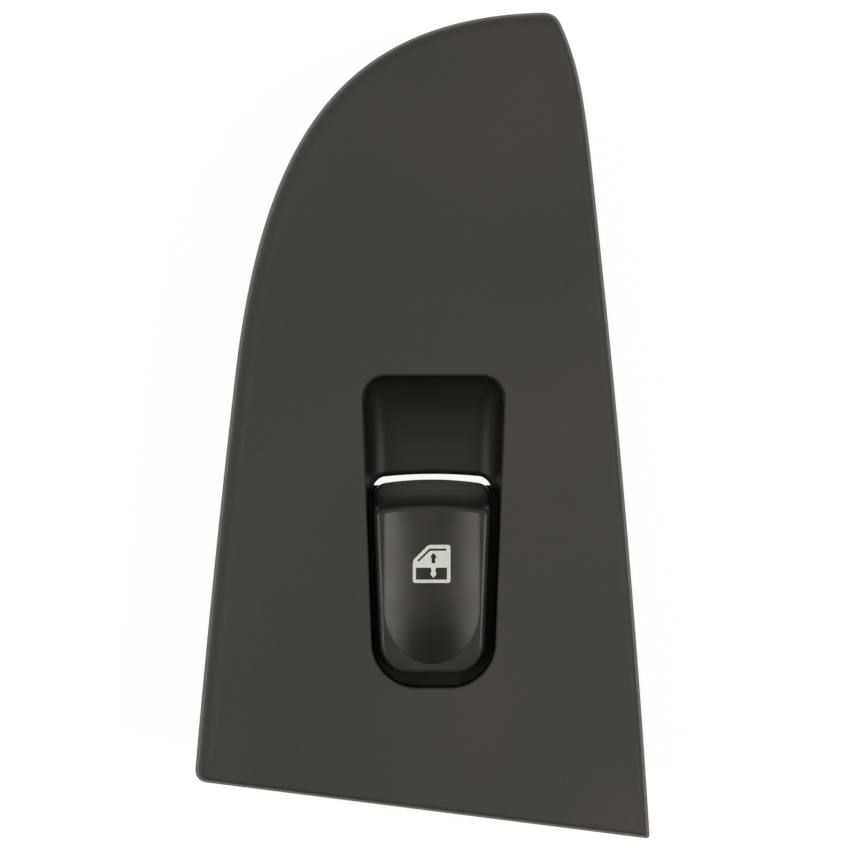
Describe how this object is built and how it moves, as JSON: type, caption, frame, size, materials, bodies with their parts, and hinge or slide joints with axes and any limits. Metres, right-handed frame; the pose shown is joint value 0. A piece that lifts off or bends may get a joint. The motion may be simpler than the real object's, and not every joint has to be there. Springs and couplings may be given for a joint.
{
  "type": "power window switch",
  "caption": "Vehicle door trim panel with a finger scoop and a rocker switch that is pulled up or pressed down to move a window.",
  "frame": {"origin": "centre of the flat end of the cross-shaped rest post under the panel, in the plane of the panel's rim", "axes": "+Z out of the panel's show face, +Y along the panel towards its narrow rounded end, +X to the right when the sign is seen upright"},
  "size_m": [0.0873, 0.1587, 0.0402],
  "materials": {
    "panel_plastic": "fine grained ABS, dark warm grey",
    "rocker_plastic": "satin painted plastic, near black",
    "housing_plastic": "moulded glass-filled polyester, black",
    "base_plastic": "moulded polyester, black",
    "slide_plastic": "acetal, natural white",
    "clear_plastic": "clear polycarbonate",
    "contact_brass": "bright sheet brass with silver rivets",
    "tinned_brass": "matt tinned brass",
    "zinc_steel": "zinc plated steel",
    "spring_steel": "phosphated spring steel",
    "component_body": "moulded component body, pale"
  },
  "bodies": {
    "panel": {"trim_panel": "panel_plastic", "switch_housing": "housing_plastic", "terminal_base": "base_plastic", "common_left_terminal": "tinned_brass", "common_right_terminal": "tinned_brass", "rest_left_terminal": "tinned_brass", "rest_right_terminal": "tinned_brass", "feed_terminal": "tinned_brass", "lamp_feed_terminal": "tinned_brass", "lamp_ground_terminal": "tinned_brass", "lamp_link": "tinned_brass", "lamp_resistor": "component_body", "sign_lamp": "component_body", "light_guide": "clear_plastic", "module_screw_1": "zinc_steel", "module_screw_2": "zinc_steel", "module_screw_3": "zinc_steel", "spring_clip_1": "spring_steel", "spring_clip_2": "spring_steel", "spring_clip_3": "spring_steel", "spring_clip_4": "spring_steel", "spring_clip_5": "spring_steel"},
    "rocker": {"rocker_knob": "rocker_plastic", "plunger_spring_left": "spring_steel", "plunger_spring_right": "spring_steel"},
    "plunger_left": {"plunger_left": "slide_plastic"},
    "plunger_right": {"plunger_right": "slide_plastic"},
    "contact_left": {"seesaw_contact_left": "contact_brass"},
    "contact_right": {"seesaw_contact_right": "contact_brass"}
  },
  "joints": [
    {"name": "rocker_tilt", "type": "hinge", "parent": "panel", "child": "rocker", "pos_m": [-0.0003, -0.057, 0.0015], "axis": [1, 0, 0], "range_deg": [-8, 8], "stiffness_Nm_per_rad": 0.3},
    {"name": "plunger_left_slide", "type": "slide", "parent": "rocker", "child": "plunger_left", "axis": [0, 0, 1], "range_m": [0, 0.0008], "stiffness_N_per_m": 300, "springref_m": -0.0005, "deforming": ["plunger_spring_left"]},
    {"name": "plunger_right_slide", "type": "slide", "parent": "rocker", "child": "plunger_right", "axis": [0, 0, 1], "range_m": [0, 0.0008], "stiffness_N_per_m": 300, "springref_m": -0.0005, "deforming": ["plunger_spring_right"]},
    {"name": "contact_left_rock", "type": "hinge", "parent": "panel", "child": "contact_left", "pos_m": [-0.00468, -0.05775, -0.0108], "axis": [1, 0, 0], "range_deg": [0, 8], "stiffness_Nm_per_rad": 0.002, "springref_deg": -5.73},
    {"name": "contact_right_rock", "type": "hinge", "parent": "panel", "child": "contact_right", "pos_m": [0.00408, -0.05625, -0.0108], "axis": [1, 0, 0], "range_deg": [-8, 0], "stiffness_Nm_per_rad": 0.002, "springref_deg": 5.73}
  ]
}
